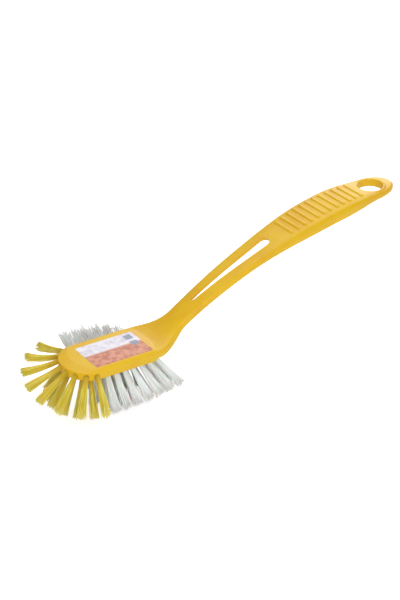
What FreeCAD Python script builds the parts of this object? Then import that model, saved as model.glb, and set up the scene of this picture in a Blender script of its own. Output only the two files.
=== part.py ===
"""Long-handled washing-up brush: one plastic moulding (head, neck and handle), a fan of yellow
tufts round the nose, white tufts in rows under the head, the metal anchor that holds each
tuft in its hole, and a paper label on the back of the head.

Millimetres, +Z up, bristles down, +X from the head towards the handle's end. The model is laid
out from the head's back panel and moved at the end, so that the origin is the centre of the
hanging hole at the middle of its depth.
"""
import FreeCAD, Part
import math
import os

V = FreeCAD.Vector
os.makedirs("parts", exist_ok=True)

# --- head: a flat slab with an oval nose, bevelled all round its back
head_width = 38.5
head_thick = 7.2
head_side = 41.0          # straight length of the head's sides
nose_reach = 17.0         # how far the oval nose stands ahead of the straight sides
heel_reach = 8.0          # the same behind them, inside the root of the neck
bevel_drop = 1.5          # height of the bevel round the back panel
side_bevel = 2.2          # width of that bevel along the sides
nose_slope = 7.0          # width of the slope between the panel and the nose's front
panel_round = 0.8         # rounding of the panel's edge
wall_round = 0.5          # rounding of the bevel's outer edge and of the sole's edge

# --- neck and handle: sections carried along two arcs, one up out of the head and one bowed over
sweep_radius = 38.0       # radius of the arc where the neck turns up out of the head
sweep_delay = 3.0         # level run from the end of the straight sides to that arc
rise_angle = 34.2         # slope at the end of that arc, in degrees
bow_radius = 357.0        # radius of the handle's long bow
handle_run = 220.8        # length along the handle from the start of the sweep to its tip
shoulder_run = 30.0       # length over which the head narrows to the neck
root_run = 9.0            # how far the neck's root reaches into the head
skin_step = 0.2           # how far the neck's root lies inside the head's faces
neck_at, neck_width, neck_thick, neck_square = 42.0, 18.6, 7.6, 3.0
waist_at, waist_width, waist_thick, waist_square = 95.0, 25.2, 5.6, 3.6
grip_from, grip_to, grip_width, grip_thick, grip_square = 142.0, 177.0, 32.0, 10.6, 3.8
eye_width, eye_thick, eye_square = 26.0, 5.0, 5.0
root_square = 6.0         # squareness of the section inside the head
fairing = 10.0            # half-length over which the widths are smoothed
tip_blunt = 4.0           # squareness of the tip seen from the side
tip_close = 0.97          # how nearly the skin closes at the tip, before a small flat

# --- openings and relief of the handle
hole_radius = 9.25        # hanging hole
hole_to_tip = 18.5
bead_radius = 1.5         # raised bead round the hanging hole
bead_height = 0.5
bead_trim = 0.5           # how far the hole trims the bead's inner side
slot_from, slot_to = 46.0, 109.0          # centres of the slot's two round ends
slot_narrow, slot_wide = 1.6, 4.5         # their radii
channel_from, channel_to = 40.0, 186.0    # hollow along the handle's underside
skirt_wall = 2.3          # walls left at the sides of that hollow
shell_wall = 2.5          # wall left on top of it
channel_square = 5.0
rib_count = 12
rib_from, rib_to = 127.0, 187.5
rib_radius = 1.5
rib_height = 0.75
rib_margin = 4.2          # from a rib's end to the handle's edge

# --- tufts and their anchors
hole_gap = 0.05           # clearance of a tuft in its hole
hole_depth = 4.0
mouth_length = 1.5        # a tuft is parallel for this far outside its hole
yellow_hole = 1.75        # radii of the drilled holes
white_hole = 1.8
yellow_tip = 3.1          # radii of the trimmed tips
white_tip = 3.2
fan_count = 8             # upper row of the nose, in its side wall
fan_pitch = 23.0          # degrees between holes round the nose
fan_turn = 20.4           # degrees between the ways the upper tufts point
fan_front, fan_flank = 27.0, 18.0         # slope of the upper row below level, in front and at its ends
fan_length = 26.0
fan_rock = 6.0            # the upper tufts' tips are bent up by this on the far side, down on the near
fan_below = 4.7           # the upper row's height below the back panel
under_inset = 5.5         # lower row of the nose, in the sole, inside the nose's edge
under_droop = 58.0
under_length = 27.0
side_count, side_edge, side_splay, side_length = 7, 3.05, 27.0, 24.0
mid_count, mid_edge, mid_splay, mid_length = 6, 9.75, 15.0, 29.0
core_count, core_length = 7, 30.5
far_out, far_up = 12.0, 24.0              # how far the far outer row's tips are bent out and up
far_rear = 0.75           # share of that bend left at the rear end of the row
field_start = 6.5         # first side tuft behind the straight sides' front end
field_end = 0.0           # last side tuft before the neck's sweep
rear_lean = 33.0          # backward lean of the last tuft in a row
anchor_thick = 0.4
anchor_height = 1.6
anchor_bite = 0.25        # how far an anchor cuts into the hole's walls
anchor_lift = 0.8         # the folded filaments under an anchor

# --- label
label_near, label_far = 0.3, 4.4          # margins across the panel
label_length = 43.0
label_thick = 0.15
label_corner = 1.5

half_width = head_width / 2
side_front = -head_side / 2
side_rear = head_side / 2
sweep_start = side_rear + sweep_delay
middle_z = -head_thick / 2


def oval_arc(x, reach, half, height, facing):
    """Half an oval about (x, 0): reach along X on the facing side, half across."""
    arc = Part.makeCircle(1.0, V(0, 0, 0), V(0, 0, 1), -90, 90)
    place = FreeCAD.Matrix(facing * reach, 0, 0, x, 0, half, 0, 0, 0, 0, 1, height, 0, 0, 0, 1)
    return arc.transformGeometry(place).Edges[0]


def head_outline(inset, nose_inset, height):
    """The head's plan at one height: straight sides, an oval nose and an oval heel."""
    half = half_width - inset
    nose = oval_arc(side_front, nose_reach - nose_inset, half, height, -1)
    heel = oval_arc(side_rear, heel_reach - inset, half, height, 1)
    near = Part.makeLine(V(side_front, -half, height), V(side_rear, -half, height))
    far = Part.makeLine(V(side_front, half, height), V(side_rear, half, height))
    return Part.Wire(Part.__sortEdges__([nose, near, heel, far]))


def level_edges(shape, height):
    """The edges of a shape that lie in one level plane."""
    found = []
    for edge in shape.Edges:
        box = edge.BoundBox
        if abs(box.ZMin - height) < 1e-4 and abs(box.ZMax - height) < 1e-4:
            found.append(edge)
    return found


def make_head():
    """The slab below its bevel, the bevel lofted up to the back panel, and rounded edges."""
    slab = Part.Face(head_outline(0, 0, -head_thick)).extrude(V(0, 0, head_thick - bevel_drop))
    rims = [head_outline(0, 0, -bevel_drop), head_outline(side_bevel, nose_slope, 0)]
    bevel = Part.makeLoft(rims, True, True)
    head = slab.fuse(bevel).removeSplitter()
    head = head.makeFillet(panel_round, level_edges(head, 0))
    return head.makeFillet(wall_round, level_edges(head, -head_thick))


def path(run):
    """Point and slope (radians) of the handle's centre line, run mm from the start of its sweep."""
    rise = math.radians(rise_angle)
    sweep = sweep_radius * rise
    if run <= 0:
        return V(sweep_start + run, 0, middle_z), 0.0
    if run <= sweep:
        slope = run / sweep_radius
        return V(sweep_start + sweep_radius * math.sin(slope), 0,
                 middle_z + sweep_radius * (1 - math.cos(slope))), slope
    slope = rise - (run - sweep) / bow_radius
    x = sweep_start + sweep_radius * math.sin(rise) + bow_radius * (math.sin(rise) - math.sin(slope))
    z = middle_z + sweep_radius * (1 - math.cos(rise)) + bow_radius * (math.cos(slope) - math.cos(rise))
    return V(x, 0, z), slope


def ease(share):
    """0 to 1 with a level start and end."""
    share = min(1.0, max(0.0, share))
    return share * share * (3 - 2 * share)


def straight(stations, run):
    """Value at a place along the handle, by straight lines between stations of (place, value)."""
    if run <= stations[0][0]:
        return stations[0][1]
    for (a, low), (b, high) in zip(stations, stations[1:]):
        if run <= b:
            return low + (high - low) * (run - a) / (b - a)
    return stations[-1][1]


def faired(stations, run):
    """The same, averaged over the fairing length, so that it has no corners."""
    steps = 8
    total = sum(straight(stations, run + fairing * (2 * k / steps - 1)) for k in range(steps + 1))
    return total / (steps + 1)


hole_run = handle_run - hole_to_tip


def body_size(run):
    """Width, thickness and squareness of the neck or handle, before its rounded tip."""
    root = 1 - ease(run / shoulder_run)
    width = faired([(neck_at, neck_width), (waist_at, waist_width), (grip_from, grip_width),
                    (grip_to, grip_width), (hole_run, eye_width)], run)
    thick = faired([(neck_at, neck_thick), (waist_at, waist_thick), (grip_from, grip_thick),
                    (grip_to, grip_thick), (hole_run, eye_thick)], run)
    square = faired([(neck_at, neck_square), (waist_at, waist_square), (grip_from, grip_square),
                     (hole_run, eye_square)], run)
    width += (head_width - 2 * skin_step - width) * root
    thick += (head_thick - 2 * skin_step - thick) * root
    square += (root_square - square) * root
    return width, thick, square


def section(run, width, thick, square, lift=0.0):
    """Points round an oblong across the handle: |y/half width|^square + |z/half thickness|^square = 1."""
    centre, slope = path(run)
    up = V(-math.sin(slope), 0, math.cos(slope))
    count = 40
    points = []
    for k in range(count + 1):
        turn = 2 * math.pi * (k % count) / count
        across, above = math.sin(turn), -math.cos(turn)
        reach = (abs(across) ** square + abs(above) ** square) ** (-1 / square)
        points.append(centre + V(0, reach * across * width / 2, 0) + up * (reach * above * thick / 2 + lift))
    return points


def skinned(sections):
    """A solid with one smooth skin through its sections and a flat face at each end."""
    skin = Part.BSplineSurface()
    skin.interpolate(sections)
    side = skin.toShape()
    ends = [Part.Face(Part.Wire([edge])) for edge in side.Edges if edge.isClosed()]
    shell = Part.makeShell([side] + ends)
    shell.sewShape()
    solid = Part.makeSolid(shell)
    if solid.Volume < 0:
        solid.reverse()
    return solid


def make_handle():
    """Neck and handle, closed by a tip that is oval in plan and blunt from the side."""
    steps = 44
    runs = [hole_run * k / steps - root_run * (1 - k / steps) for k in range(steps + 1)]
    sections = [section(run, *body_size(run)) for run in runs]
    tip_steps = 9
    for k in range(1, tip_steps + 1):
        share = math.sin(math.pi / 2 * tip_close * k / tip_steps)
        width, thick, square = body_size(hole_run + hole_to_tip * share)
        width *= math.sqrt(1 - share ** 2)
        thick *= (1 - share ** tip_blunt) ** (1 / tip_blunt)
        sections.append(section(hole_run + hole_to_tip * share, width, thick, square))
    return skinned(sections)


def make_channel():
    """The hollow under the handle, open downwards, that leaves a top skin and two skirts."""
    steps = 16
    sections = []
    for k in range(steps + 1):
        run = channel_from + (channel_to - channel_from) * k / steps
        width, thick, _ = body_size(run)
        sections.append(section(run, width - 2 * skirt_wall, thick, channel_square, -shell_wall))
    return skinned(sections)


def make_slot():
    """A drop-shaped prism through the handle: two round ends joined by their outer tangents."""
    start, _ = path(slot_from)
    end, _ = path(slot_to)
    along = (end - start).normalize()
    up = V(0, 1, 0).cross(along) * -1
    length = (end - start).Length
    tangent = math.acos((slot_narrow - slot_wide) / length)
    deep = grip_thick
    base = start - up * deep

    def rim(offset, radius, angle):
        return base + along * (offset + radius * math.cos(angle)) + V(0, radius * math.sin(angle), 0)

    narrow = Part.Arc(rim(0, slot_narrow, tangent), rim(0, slot_narrow, math.pi), rim(0, slot_narrow, -tangent))
    wide = Part.Arc(rim(length, slot_wide, -tangent), rim(length, slot_wide, 0), rim(length, slot_wide, tangent))
    low = Part.makeLine(rim(0, slot_narrow, -tangent), rim(length, slot_wide, -tangent))
    high = Part.makeLine(rim(length, slot_wide, tangent), rim(0, slot_narrow, tangent))
    return Part.Face(Part.Wire([narrow.toShape(), low, wide.toShape(), high])).extrude(up * 2 * deep)


def make_ribs():
    """Half-sunk bars with round ends across the top of the grip."""
    ribs = []
    for k in range(rib_count):
        run = rib_from + (rib_to - rib_from) * k / (rib_count - 1)
        width, thick, _ = body_size(run)
        centre, slope = path(run)
        up = V(-math.sin(slope), 0, math.cos(slope))
        middle = centre + up * (thick / 2 + rib_height - rib_radius)
        half = width / 2 - rib_margin - rib_radius
        bar = Part.makeCylinder(rib_radius, 2 * half, middle - V(0, half, 0), V(0, 1, 0))
        for side in (-1, 1):
            bar = bar.fuse(Part.makeSphere(rib_radius, middle + V(0, side * half, 0)))
        ribs.append(bar)
    return ribs


def make_bead(centre):
    """A raised ring round the top of the hanging hole, level with the handle there."""
    _, slope = path(hole_run)
    up = V(-math.sin(slope), 0, math.cos(slope))
    top = centre + up * (eye_thick / 2 + bead_height - bead_radius)
    return Part.makeTorus(hole_radius + bead_radius - bead_trim, bead_radius, top, up)


def bent_bundle(shank, flat, length, tip, bend):
    """A round bundle along +Z that flares to its tip and, outside its hole, bends by bend times the
    square of the share of its length."""
    steps, count = 14, 16
    sections = []
    for k in range(steps + 1):
        run = (hole_depth + length) * k / steps
        share = max(0.0, run - hole_depth) / length
        along = (V(0, 0, 1) + bend * (2 * share / length)).normalize()
        side = (V(1, 0, 0) - along * along.x).normalize()
        other = along.cross(side)
        radius = shank + (tip - shank) * max(0.0, run - flat) / (hole_depth + length - flat)
        centre = V(0, 0, run) + bend * share ** 2
        turns = [2 * math.pi * (j % count) / count for j in range(count + 1)]
        sections.append([centre + (side * math.cos(t) + other * math.sin(t)) * radius for t in turns])
    return skinned(sections)


def tuft(mouth, way, length, hole, tip, bend=None):
    """A tuft, its drilled hole and its anchor. The tuft is a round bundle, straight in its hole,
    flares to its trimmed tip, and is slit where the anchor crosses it."""
    bottom = mouth - way * hole_depth
    drill = Part.makeCylinder(hole, hole_depth + 2 * hole, bottom, way)
    shank = hole - hole_gap
    flat = hole_depth + mouth_length
    turn = FreeCAD.Placement(bottom, FreeCAD.Rotation(V(0, 0, 1), way))
    if bend:
        bundle = bent_bundle(shank, flat, length, tip, turn.Rotation.inverted().multVec(bend))
    else:
        outline = [V(0, 0, 0), V(shank, 0, 0), V(shank, 0, flat), V(tip, 0, hole_depth + length),
                   V(0, 0, hole_depth + length), V(0, 0, 0)]
        bundle = Part.Face(Part.makePolygon(outline)).revolve(V(0, 0, 0), V(0, 0, 1), 360)
    wide = 2 * (hole + anchor_bite)
    anchor = Part.makeBox(wide, anchor_thick, anchor_height, V(-wide / 2, -anchor_thick / 2, anchor_lift))
    bundle = Part.Solid(bundle.Shells[0]) if bundle.ShapeType != "Solid" else bundle
    bundle = bundle.cut(anchor)
    for shape in (bundle, anchor):
        shape.Placement = turn.multiply(shape.Placement)
    return bundle, drill, anchor


def make_fan():
    """The nose's two rows: the upper in its side wall, the lower in the sole between them."""
    tufts = {}
    for k in range(fan_count):
        place = k - (fan_count - 1) / 2
        angle = math.radians(fan_pitch * place)
        turn = math.radians(fan_turn * place)
        droop = math.radians(fan_front + (fan_flank - fan_front) * (2 * place / (fan_count - 1)) ** 2)
        mouth = V(side_front - nose_reach * math.cos(angle), half_width * math.sin(angle), -fan_below)
        way = V(-math.cos(droop) * math.cos(turn), math.cos(droop) * math.sin(turn), -math.sin(droop))
        bend = V(0, 0, fan_rock * math.sin(turn))
        tufts[f"yellow_tuft_upper_{k + 1}"] = tuft(mouth, way, fan_length, yellow_hole, yellow_tip, bend)
    for k in range(fan_count - 1):
        angle = math.radians(fan_pitch * (k - (fan_count - 2) / 2))
        droop = math.radians(under_droop)
        mouth = V(side_front - (nose_reach - under_inset) * math.cos(angle),
                  (half_width - under_inset) * math.sin(angle), -head_thick)
        way = V(-math.cos(droop) * math.cos(angle), math.cos(droop) * math.sin(angle), -math.sin(droop))
        tufts[f"yellow_tuft_lower_{k + 1}"] = tuft(mouth, way, under_length, yellow_hole, yellow_tip)
    return tufts


def make_row(name, count, across, splay, length, start, end, bend=None):
    """A row along the head: each tuft splayed sideways, and leaning back more towards the rear."""
    tufts = {}
    out = math.copysign(math.radians(splay), across) if across else 0.0
    for k in range(count):
        share = k / (count - 1)
        lean = math.radians(rear_lean) * share
        mouth = V(start + (end - start) * share, across, -head_thick)
        way = V(math.sin(lean), math.cos(lean) * math.sin(out), -math.cos(lean) * math.cos(out))
        bent = bend * (1 - (1 - far_rear) * share) if bend else None
        tufts[f"{name}_{k + 1}"] = tuft(mouth, way, length, white_hole, white_tip, bent)
    return tufts


def make_field():
    """The white rows: a splayed one and a steeper one at each side, and a middle one. The far
    side's splayed row has been bent out and up."""
    first = side_front + field_start
    last = sweep_start - field_end
    half_step = (last - first) / (side_count - 1) / 2
    tufts = {}
    for side, name, bend in ((-1, "near", None), (1, "far", V(0, far_out, far_up))):
        tufts.update(make_row(f"white_tuft_{name}_outer", side_count, side * (half_width - side_edge),
                              side_splay, side_length, first, last, bend))
        tufts.update(make_row(f"white_tuft_{name}_inner", mid_count, side * (half_width - mid_edge),
                              mid_splay, mid_length, first + half_step, last - half_step))
    tufts.update(make_row("white_tuft_middle", core_count, 0.0, 0.0, core_length, first, last))
    return tufts


def make_label():
    """A thin rounded oblong stuck on the back panel, nearer one long edge than the other."""
    low = -half_width + side_bevel + panel_round + label_near
    high = half_width - side_bevel - panel_round - label_far
    sheet = Part.makeBox(label_length, high - low, label_thick, V(-label_length / 2, low, 0))
    corners = [e for e in sheet.Edges if abs(e.BoundBox.ZMax - e.BoundBox.ZMin - label_thick) < 1e-6]
    return sheet.makeFillet(label_corner, corners)


hole_centre, _ = path(hole_run)
fan = make_fan()
field = make_field()
moulding = make_head().fuse(make_handle()).cut(make_channel()).cut(make_slot())
moulding = moulding.fuse(make_ribs() + [make_bead(hole_centre)])
bore = Part.makeCylinder(hole_radius, 4 * eye_thick, hole_centre - V(0, 0, 2 * eye_thick))
cutters = [bore]
for bundle, drill, anchor in list(fan.values()) + list(field.values()):
    cutters += [drill, anchor]
moulding = moulding.cut(cutters)

nodes = {"moulding": moulding, "label": make_label()}
for name, (bundle, drill, anchor) in {**fan, **field}.items():
    nodes[name] = bundle
nodes["yellow_tuft_anchors"] = Part.makeCompound([anchor for _, _, anchor in fan.values()])
nodes["white_tuft_anchors"] = Part.makeCompound([anchor for _, _, anchor in field.values()])

for name, shape in nodes.items():
    shape = shape.copy()
    shape.translate(hole_centre * -1)
    shape.exportStep(f"parts/{name}.step")
    print(name, len(shape.Solids), shape.isValid(), round(shape.Volume, 1))
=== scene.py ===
import math

import bpy
import numpy as np
from mathutils import Matrix, Vector


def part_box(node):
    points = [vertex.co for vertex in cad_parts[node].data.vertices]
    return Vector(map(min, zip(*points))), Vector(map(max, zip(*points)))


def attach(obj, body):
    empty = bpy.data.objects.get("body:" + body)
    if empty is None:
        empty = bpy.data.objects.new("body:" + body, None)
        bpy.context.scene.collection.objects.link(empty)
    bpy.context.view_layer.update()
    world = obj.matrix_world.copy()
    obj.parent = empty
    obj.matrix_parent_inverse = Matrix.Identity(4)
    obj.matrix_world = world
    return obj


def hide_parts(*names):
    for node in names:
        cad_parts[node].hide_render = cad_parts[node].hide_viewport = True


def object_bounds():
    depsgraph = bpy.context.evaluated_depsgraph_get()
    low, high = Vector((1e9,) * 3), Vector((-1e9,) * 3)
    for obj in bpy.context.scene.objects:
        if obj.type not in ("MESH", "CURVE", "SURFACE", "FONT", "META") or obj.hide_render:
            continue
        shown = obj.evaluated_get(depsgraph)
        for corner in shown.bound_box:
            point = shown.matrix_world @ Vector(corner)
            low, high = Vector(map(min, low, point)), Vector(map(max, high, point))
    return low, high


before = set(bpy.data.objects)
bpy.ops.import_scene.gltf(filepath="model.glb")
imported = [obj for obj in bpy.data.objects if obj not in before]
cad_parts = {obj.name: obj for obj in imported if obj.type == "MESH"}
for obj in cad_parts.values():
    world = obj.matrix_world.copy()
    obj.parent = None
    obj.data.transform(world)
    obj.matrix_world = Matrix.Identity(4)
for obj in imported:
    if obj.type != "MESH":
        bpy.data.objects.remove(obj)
cad_low, cad_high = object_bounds()
scene = bpy.context.scene
scene.view_settings.view_transform = "Standard"


# --- Viewpoint: above the head, ahead of it and to its near side, with a long lens.
# The brush is seen from about 28 degrees up and 36 degrees round from square-on.
eye = Vector((-0.6944, -0.7676, 0.4664))
azimuth, elevation, roll = math.radians(35.69), math.radians(28.53), math.radians(1.80)
right = Vector((math.cos(azimuth), -math.sin(azimuth), 0))
ahead = Vector((math.sin(azimuth) * math.cos(elevation), math.cos(azimuth) * math.cos(elevation),
                -math.sin(elevation)))
over = right.cross(ahead)
tilted_right = right * math.cos(roll) + over * math.sin(roll)
tilted_over = over * math.cos(roll) - right * math.sin(roll)
lens = bpy.data.cameras.new("viewpoint")
lens.sensor_fit = "VERTICAL"
lens.sensor_height = 36.0
lens.lens = 96.5
camera = bpy.data.objects.new("viewpoint", lens)
scene.collection.objects.link(camera)
turn = Matrix((tilted_right, tilted_over, -ahead)).transposed()
camera.matrix_world = Matrix.Translation(eye) @ turn.to_4x4()
scene.camera = camera


# --- Table and backdrop: a plain white sweep just under the tufts' tips, and three soft lamps
# over a white room. A share of the floor's white is seen only by the camera and in reflections.
class Value:
    """A socket's value in a material, so that sums on it are written as plain arithmetic."""

    def __init__(self, tree, socket):
        self.tree, self.socket = tree, socket

    def node(self, kind, out=0, settings=None, **sockets):
        """Any other node: its settings are made first, then its sockets get their values or links.
        A socket is named with _ for each space, or numbered, i2 being the third one."""
        made = self.tree.nodes.new(kind)
        for name, value in (settings or {}).items():
            setattr(made, name, value)
        for name, value in sockets.items():
            key = int(name[1:]) if name[0] == "i" and name[1:].isdigit() else name.replace("_", " ")
            if isinstance(value, Value):
                self.tree.links.new(value.socket, made.inputs[key])
            else:
                made.inputs[key].default_value = value
        return Value(self.tree, made.outputs[out])

    def output(self, key):
        """Another output of the node that this value comes from."""
        return Value(self.tree, self.socket.node.outputs[key])

    def sum(self, operation, first, second):
        return self.node("ShaderNodeMath", settings={"operation": operation}, i0=first, i1=second)

    def __add__(self, other):
        return self.sum("ADD", self, other)

    def __radd__(self, other):
        return self.sum("ADD", other, self)

    def __sub__(self, other):
        return self.sum("SUBTRACT", self, other)

    def __rsub__(self, other):
        return self.sum("SUBTRACT", other, self)

    def __mul__(self, other):
        return self.sum("MULTIPLY", self, other)

    def __rmul__(self, other):
        return self.sum("MULTIPLY", other, self)

    def __truediv__(self, other):
        return self.sum("DIVIDE", self, other)

    def __rtruediv__(self, other):
        return self.sum("DIVIDE", other, self)

    def step(self, low, high):
        """0 below low, 1 above high, smooth between: t = (x - low) / (high - low), 3t^2 - 2t^3."""
        return self.node("ShaderNodeMapRange", settings={"interpolation_type": "SMOOTHSTEP"},
                         Value=self, From_Min=low, From_Max=high)

    def between(self, first, second):
        """This value as the share of a second colour over a first."""
        return self.node("ShaderNodeMix", out=2, settings={"data_type": "RGBA"}, i0=self, i6=first, i7=second)


floor_level = cad_low.z - 0.0005
floor_reach = 3.0
floor_mesh = bpy.data.meshes.new("table")
floor_mesh.from_pydata([(x * floor_reach, y * floor_reach, floor_level)
                        for x, y in ((-1, -1), (1, -1), (1, 1), (-1, 1))], [], [(0, 1, 2, 3)])
table = bpy.data.objects.new("table", floor_mesh)
scene.collection.objects.link(table)
paper_glow = 0.6
paper = bpy.data.materials.new("white_paper")
paper.use_nodes = True
tree = paper.node_tree
sheet = tree.nodes["Principled BSDF"]
sheet.inputs["Base Color"].default_value = (0.86, 0.86, 0.86, 1)
sheet.inputs["Roughness"].default_value = 0.9
sheet.inputs["Specular IOR Level"].default_value = 0.1
rays = Value(tree, None).node("ShaderNodeLightPath")
seen = rays.output("Is Camera Ray") + rays.output("Is Glossy Ray") + rays.output("Is Transmission Ray")
glow = rays.node("ShaderNodeEmission", Color=(1, 1, 1, 1),
                 Strength=rays.sum("MINIMUM", seen, 1.0) * paper_glow)
both = rays.node("ShaderNodeAddShader", i0=Value(tree, sheet.outputs[0]), i1=glow)
tree.links.new(both.socket, tree.nodes["Material Output"].inputs["Surface"])
floor_mesh.materials.append(paper)

room_light = 0.45
world = bpy.data.worlds.new("room")
scene.world = world
world.use_nodes = True
tree = world.node_tree
seen = Value(tree, None).node("ShaderNodeLightPath").output("Is Camera Ray")
tree.links.new((seen * (1 - room_light) + room_light).socket, tree.nodes["Background"].inputs["Strength"])
tree.nodes["Background"].inputs["Color"].default_value = (1, 1, 1, 1)


def lamp(name, place, aim, size, power):
    """A square soft lamp at place, turned to face aim."""
    light = bpy.data.lights.new(name, "AREA")
    light.size = size
    light.energy = power
    made = bpy.data.objects.new(name, light)
    made.location = place
    made.rotation_euler = (Vector(aim) - Vector(place)).to_track_quat("-Z", "Y").to_euler()
    scene.collection.objects.link(made)


middle = (cad_low + cad_high) / 2
lamp("key_lamp", middle + Vector((0.35, 0.45, 1.1)), middle, 0.9, 6.8)
lamp("front_lamp", middle + Vector((-0.55, -1.0, 0.55)), middle, 0.9, 8.8)
lamp("far_lamp", middle + Vector((0.9, 0.9, 0.5)), middle, 0.6, 4.5)


# --- Moulding: head, neck and ribbed, slotted handle in one shot of polypropylene, with the tuft
# holes drilled afterwards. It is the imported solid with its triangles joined, so that it shades smooth.
def new_material(name, varying, **constants):
    """A material: constants go on the shader's own sockets, and varying() returns what varies."""
    made = bpy.data.materials.new(name)
    made.use_nodes = True
    tree = made.node_tree
    shader = tree.nodes["Principled BSDF"]
    for socket, value in constants.items():
        shader.inputs[socket.replace("_", " ")].default_value = value
    for socket, value in varying(Value(tree, None)).items():
        tree.links.new(value.socket, shader.inputs[socket.replace("_", " ")])
    return made


def colour(red, green, blue):
    """An sRGB colour of 0 to 255 as the linear one that shaders use: ((c + 0.055) / 1.055)^2.4."""
    return tuple(((c / 255 + 0.055) / 1.055) ** 2.4 for c in (red, green, blue)) + (1.0,)


def joined(node, name, crease):
    """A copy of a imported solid: corners that round to the same micron are made one, and edges that
    turn by more than crease degrees stay sharp."""
    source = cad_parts[node].data
    corners = np.empty(len(source.vertices) * 3)
    source.vertices.foreach_get("co", corners)
    places = np.round(corners.reshape(-1, 3), 6)
    single, index = np.unique(places, axis=0, return_inverse=True)
    triangles = np.empty(len(source.loops), int)
    source.loops.foreach_get("vertex_index", triangles)
    triangles = index.ravel()[triangles].reshape(-1, 3)
    kept = (triangles[:, 0] != triangles[:, 1]) & (triangles[:, 1] != triangles[:, 2])
    kept &= triangles[:, 0] != triangles[:, 2]
    mesh = bpy.data.meshes.new(name)
    mesh.from_pydata(single.tolist(), [], triangles[kept].tolist())
    mesh.polygons.foreach_set("use_smooth", np.ones(len(mesh.polygons), bool))
    mesh.set_sharp_from_angle(angle=math.radians(crease))
    mesh.update()
    made = bpy.data.objects.new(name, mesh)
    scene.collection.objects.link(made)
    return made


def moulded_plastic(start):
    """Warm yellow, a little redder in slow clouds; fine handling marks in the gloss; a faint
    moulded texture and shallow sink marks in the surface."""
    place = start.node("ShaderNodeTexCoord", out=3)
    clouds = start.node("ShaderNodeTexNoise", Vector=place, Scale=38.0, Detail=3.0)
    marks = start.node("ShaderNodeTexNoise", Vector=place, Scale=420.0, Detail=5.0, Roughness=0.7)
    grain = start.node("ShaderNodeTexNoise", Vector=place, Scale=2600.0, Detail=2.0)
    sinks = start.node("ShaderNodeTexNoise", Vector=place, Scale=90.0, Detail=1.0)
    tint = clouds.step(0.38, 0.66).between(colour(224, 181, 8), colour(219, 170, 4))
    shade = marks.step(0.56, 0.8).between(tint, colour(229, 190, 28))
    relief = start.node("ShaderNodeBump", Strength=0.12, Distance=0.0002, Height=grain * 0.25 + sinks)
    return {"Base_Color": shade, "Roughness": 0.34 + marks * 0.18, "Normal": relief}


crease = 32  # degrees
moulding = joined("moulding", "moulding_shell", crease)
moulding.data.materials.append(new_material("yellow_polypropylene", moulded_plastic, Specular_IOR_Level=0.4,
                                            Subsurface_Weight=0.12, Subsurface_Scale=0.002))
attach(moulding, "root")
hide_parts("moulding")


# --- Yellow tufts: bundles of straight polypropylene filaments, folded once round an anchor and
# punched into their holes. They stand in a fan of two rows round the nose and are trimmed straight.
def filaments(name, node, seed, count, mouth, way, length, narrow, wide, bend, ragged, material):
    """A tuft as separate filaments, reaching 4 mm down its hole. With s the distance out of the mouth,
    w = max(0, s / length) and q a place in the tuft's unit disc, filament i runs through
    mouth + s way + (narrow + (wide - narrow) w^1.3) q_i + (bend + curl_i) w^2.
    Each carries a ring of five corners, capped at both ends, and its own trimmed length."""
    rng = np.random.default_rng(seed)
    radius, depth, wander = 0.00021, 0.004, 0.0005
    side = np.cross(way, (0.0, 0.0, 1.0) if abs(way[2]) < 0.9 else (1.0, 0.0, 0.0))
    side /= np.linalg.norm(side)
    other = np.cross(way, side)
    order = np.arange(count) + 0.5
    spiral = order * math.pi * (3 - math.sqrt(5))
    disc = np.sqrt(order / count) * (1 + rng.normal(0, 0.05, count))
    away = (disc * np.cos(spiral))[:, None] * side + (disc * np.sin(spiral))[:, None] * other
    rings, corners = 8, 5
    trim = length * (1 - ragged * rng.random(count) ** 2)
    run = -depth + np.linspace(0, 1, rings)[None, :] * (trim[:, None] + depth)
    share = np.clip(run / length, 0, None)
    spread = narrow - radius + (wide - narrow) * share ** 1.3
    curl = rng.normal(0, wander, (count, 3)) + np.array(bend)
    line = (np.array(mouth) + run[..., None] * np.array(way) + spread[..., None] * away[:, None]
            + share[..., None] ** 2 * curl[:, None])
    angle = 2 * math.pi * np.arange(corners) / corners
    rim = radius * (np.cos(angle)[:, None] * side + np.sin(angle)[:, None] * other)
    points = line[:, :, None, :] + rim[None, None]
    base = np.arange(count * rings * corners).reshape(count, rings, corners)
    after = np.roll(base, -1, axis=2)
    walls = np.stack([base[:, :-1], after[:, :-1], after[:, 1:], base[:, 1:]], -1).reshape(-1, 4)
    mesh = bpy.data.meshes.new(name)
    mesh.from_pydata(points.reshape(-1, 3).tolist(), [],
                     walls.tolist() + base[:, -1].tolist() + base[:, 0, ::-1].tolist())
    mesh.polygons.foreach_set("use_smooth", np.arange(len(mesh.polygons)) < len(walls))
    uses = np.empty(len(mesh.loops), int)
    mesh.loops.foreach_get("vertex_index", uses)
    strand, ring = uses // (rings * corners), uses // corners % rings
    tint = rng.random(count)
    places = np.stack([tint[strand], ring / (rings - 1)], 1)
    mesh.uv_layers.new(name="strand").data.foreach_set("uv", places.ravel())
    mesh.materials.append(material)
    made = bpy.data.objects.new(name, mesh)
    scene.collection.objects.link(made)
    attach(made, "root")
    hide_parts(node)


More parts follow.
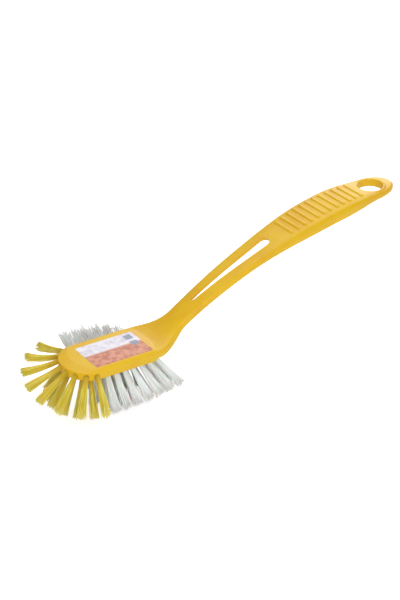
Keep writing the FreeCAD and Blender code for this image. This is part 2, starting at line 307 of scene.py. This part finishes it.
def yellow_filament(start):
    """Olive yellow and different in each filament; painted shade makes it darker towards the hole, under the
    head and among the crowded filaments, and painted light makes it paler at the cut tip, where light comes
    through the thin ends.
    """
    strand = start.node("ShaderNodeUVMap", settings={"uv_map": "strand"})
    tint = start.node("ShaderNodeSeparateXYZ", Vector=strand)
    along = tint.output("Y")
    body = tint.step(0.1, 0.9).between(colour(244, 209, 42), colour(255, 238, 114))
    # Painted shade: darker towards the hole, where the head and the crowded filaments shade the tuft.
    painted_root_shade = along.step(0.2, 0.55).between(colour(222, 184, 30), body)
    # Painted light: paler at the tip, where light comes through the thin ends.
    painted_tip = along.step(0.9, 1.0).between(painted_root_shade, colour(244, 226, 110))
    return {"Base_Color": painted_tip, "Roughness": 0.3 + tint * 0.15}


yellow_bristle = new_material("yellow_filament", yellow_filament, Specular_IOR_Level=0.5,
                              Subsurface_Weight=0.3, Subsurface_Scale=0.001, Transmission_Weight=0.12)
# The head's middle on its back, which is under the label's centre.
label_low, label_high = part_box("label")
head = np.array([(label_low.x + label_high.x) / 2, 0.0, label_low.z])
# In metres: half the head's width, where its nose begins, and how far the nose reaches from there.
half_width, nose_centre, nose_reach = 0.01925, -0.0205, 0.017
# Degrees between the mouths round the nose, and between the upper tufts themselves.
fan_pitch, fan_turn = 23.0, 20.4
# For each row: its tufts, its mouths' distance inside the nose's edge and below the back, and its length.
fan_rows = [("upper", 8, 0.0, 0.0047, 0.026), ("lower", 7, 0.0055, 0.0072, 0.027)]
for row, count, inset, drop, length in fan_rows:
    for number in range(count):
        place = number - (count - 1) / 2
        angle = math.radians(fan_pitch * place)
        if row == "upper":
            # The flanks droop less than the front, and wear has bent the far tufts up and the near ones down.
            turn = math.radians(fan_turn * place)
            droop = math.radians(27.0 - 9.0 * (place / 3.5) ** 2)
            rock = 0.006 * math.sin(turn) * (0.5 if number == count - 1 else 1.0)
        else:
            turn, droop, rock = angle, math.radians(58.0), 0.0
        mouth = head + [nose_centre - (nose_reach - inset) * math.cos(angle),
                        (half_width - inset) * math.sin(angle), -drop]
        flat = math.cos(droop)
        way = np.array([-flat * math.cos(turn), flat * math.sin(turn), -math.sin(droop)])
        filaments(f"yellow_filaments_{row}_{number + 1}", f"yellow_tuft_{row}_{number + 1}",
                  seed=100 + 10 * count + number, count=72, mouth=mouth, way=way, length=length,
                  narrow=0.0017, wide=0.0033, bend=(0, 0, rock), ragged=0.04,
                  material=yellow_bristle)


# --- White tufts: the same filaments undyed, in five rows under the head. The side rows splay
# outwards, the rows lean back towards the neck, and their tips have loosened unevenly.
def white_filament(start):
    """Milky white and greyer in some filaments; painted shade makes it greyer towards the hole, under the
    head, and at the cut tip, in the shadows between the bristles' ends.
    """
    strand = start.node("ShaderNodeUVMap", settings={"uv_map": "strand"})
    tint = start.node("ShaderNodeSeparateXYZ", Vector=strand)
    along = tint.output("Y")
    body = tint.step(0.05, 0.8).between(colour(246, 243, 239), colour(255, 252, 249))
    # Painted shade: greyer towards the hole, under the head.
    painted_root_shade = along.step(0.15, 0.6).between(colour(226, 225, 220), body)
    # Painted shade: greyer at the tips, in the shadows between the bristles' ends.
    painted_tip = along.step(0.8, 1.0).between(painted_root_shade, colour(228, 227, 225))
    return {"Base_Color": painted_tip, "Roughness": 0.32 + tint * 0.15}


white_bristle = new_material("white_filament", white_filament, Specular_IOR_Level=0.5,
                             Subsurface_Weight=0.3, Subsurface_Scale=0.001)
# A row's first and last mouths, along the head, and half the space between two of them.
first, last = nose_centre + 0.0065, 0.0235
stagger = (last - first) / 12
# How far the sole is below the head's back, and how many degrees the last tuft of a row leans back.
sole, rear_lean = 0.0072, 33.0
# For each row: its tufts, its place across the head, its splay in degrees, its length and its stagger.
white_rows = [("near_outer", 7, -0.0162, -27.0, 0.0255, 0.0),
              ("near_inner", 6, -0.0095, -15.0, 0.0290, stagger),
              ("middle", 7, 0.0, 0.0, 0.0305, 0.0),
              ("far_inner", 6, 0.0095, 15.0, 0.0290, stagger),
              ("far_outer", 7, 0.0162, 27.0, 0.0240, 0.0)]
for row, (name, count, across, splay, length, inset) in enumerate(white_rows):
    for number in range(count):
        share = number / (count - 1)
        lean, out = math.radians(rear_lean) * share, math.radians(splay)
        mouth = head + [first + inset + (last - first - 2 * inset) * share, across, -sole]
        way = np.array([math.sin(lean), math.cos(lean) * math.sin(out), -math.cos(lean) * math.cos(out)])
        # Wear has bent the far outer row out and up, least at its neck end, and opened its tufts.
        far = name == "far_outer"
        bend = np.array([-0.006 * share, 0.012, 0.024]) * (1 - 0.55 * share ** 3) if far else np.zeros(3)
        filaments(f"white_filaments_{name}_{number + 1}", f"white_tuft_{name}_{number + 1}",
                  seed=300 + 20 * row + number, count=90 if far else 80, mouth=mouth, way=way, length=length,
                  narrow=0.00175, wide=0.0046 if far else 0.0036, bend=bend, ragged=0.14,
                  material=white_bristle)


# --- Anchors: short pieces of flat drawn steel wire, one across each hole's bottom, cutting into
# its walls. They are cropped from a coil, and carry the fine marks of its drawing.
def drawn_wire(start):
    """Grey steel with fine drawing marks, duller where it is paler."""
    place = start.node("ShaderNodeTexCoord", out=3)
    marks = start.node("ShaderNodeTexNoise", Vector=place, Scale=3000.0, Detail=2.0)
    shade = marks.between(colour(178, 178, 175), colour(208, 207, 203))
    return {"Base_Color": shade, "Roughness": 0.28 + marks * 0.2}


wire = new_material("drawn_wire", drawn_wire, Metallic=1.0)
for node in ("yellow_tuft_anchors", "white_tuft_anchors"):
    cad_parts[node].data.materials.clear()
    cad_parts[node].data.materials.append(wire)


# --- Label: a coated paper sticker on the back of the head, printed with plain bands and blocks of
# colour, two darker squares at its handle end, and no words.
def printed_paper(start):
    """u along and v across the label, each 0 to 1. Lilac white on the far half, pinkish orange on
    the near half, a wavering edge between them, mottled print, and two grey-blue squares."""
    place = start.node("ShaderNodeTexCoord", out=3)
    along = start.node("ShaderNodeSeparateXYZ", Vector=place)
    u = (along - label_low.x) / (label_high.x - label_low.x)
    v = (along.output("Y") - label_low.y) / (label_high.y - label_low.y)
    cloud = start.node("ShaderNodeTexNoise", Vector=place, Scale=260.0, Detail=3.0)
    speck = start.node("ShaderNodeTexNoise", Vector=place, Scale=900.0, Detail=2.0)
    near = cloud.step(0.36, 0.64).between(colour(214, 146, 116), colour(186, 108, 84))
    far = cloud.step(0.4, 0.7).between(colour(232, 228, 236), colour(205, 200, 214))
    print_colour = (v + cloud * 0.10 - 0.05).step(0.50, 0.58).between(near, far)
    near_square = v.step(0.42, 0.44) * (1 - v.step(0.60, 0.62))
    far_square = v.step(0.70, 0.72) * (1 - v.step(0.90, 0.92))
    squares = u.step(0.80, 0.82) * (1 - u.step(0.93, 0.95)) * (near_square + far_square)
    print_colour = squares.between(print_colour, colour(140, 148, 166))
    worn = (speck.step(0.60, 0.75) * 0.35).between(print_colour, colour(226, 214, 212))
    relief = start.node("ShaderNodeBump", Strength=0.15, Distance=0.0001, Height=speck)
    return {"Base_Color": worn, "Roughness": 0.38 + cloud * 0.2, "Normal": relief}


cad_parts["label"].data.materials.clear()
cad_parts["label"].data.materials.append(new_material("printed_label", printed_paper))
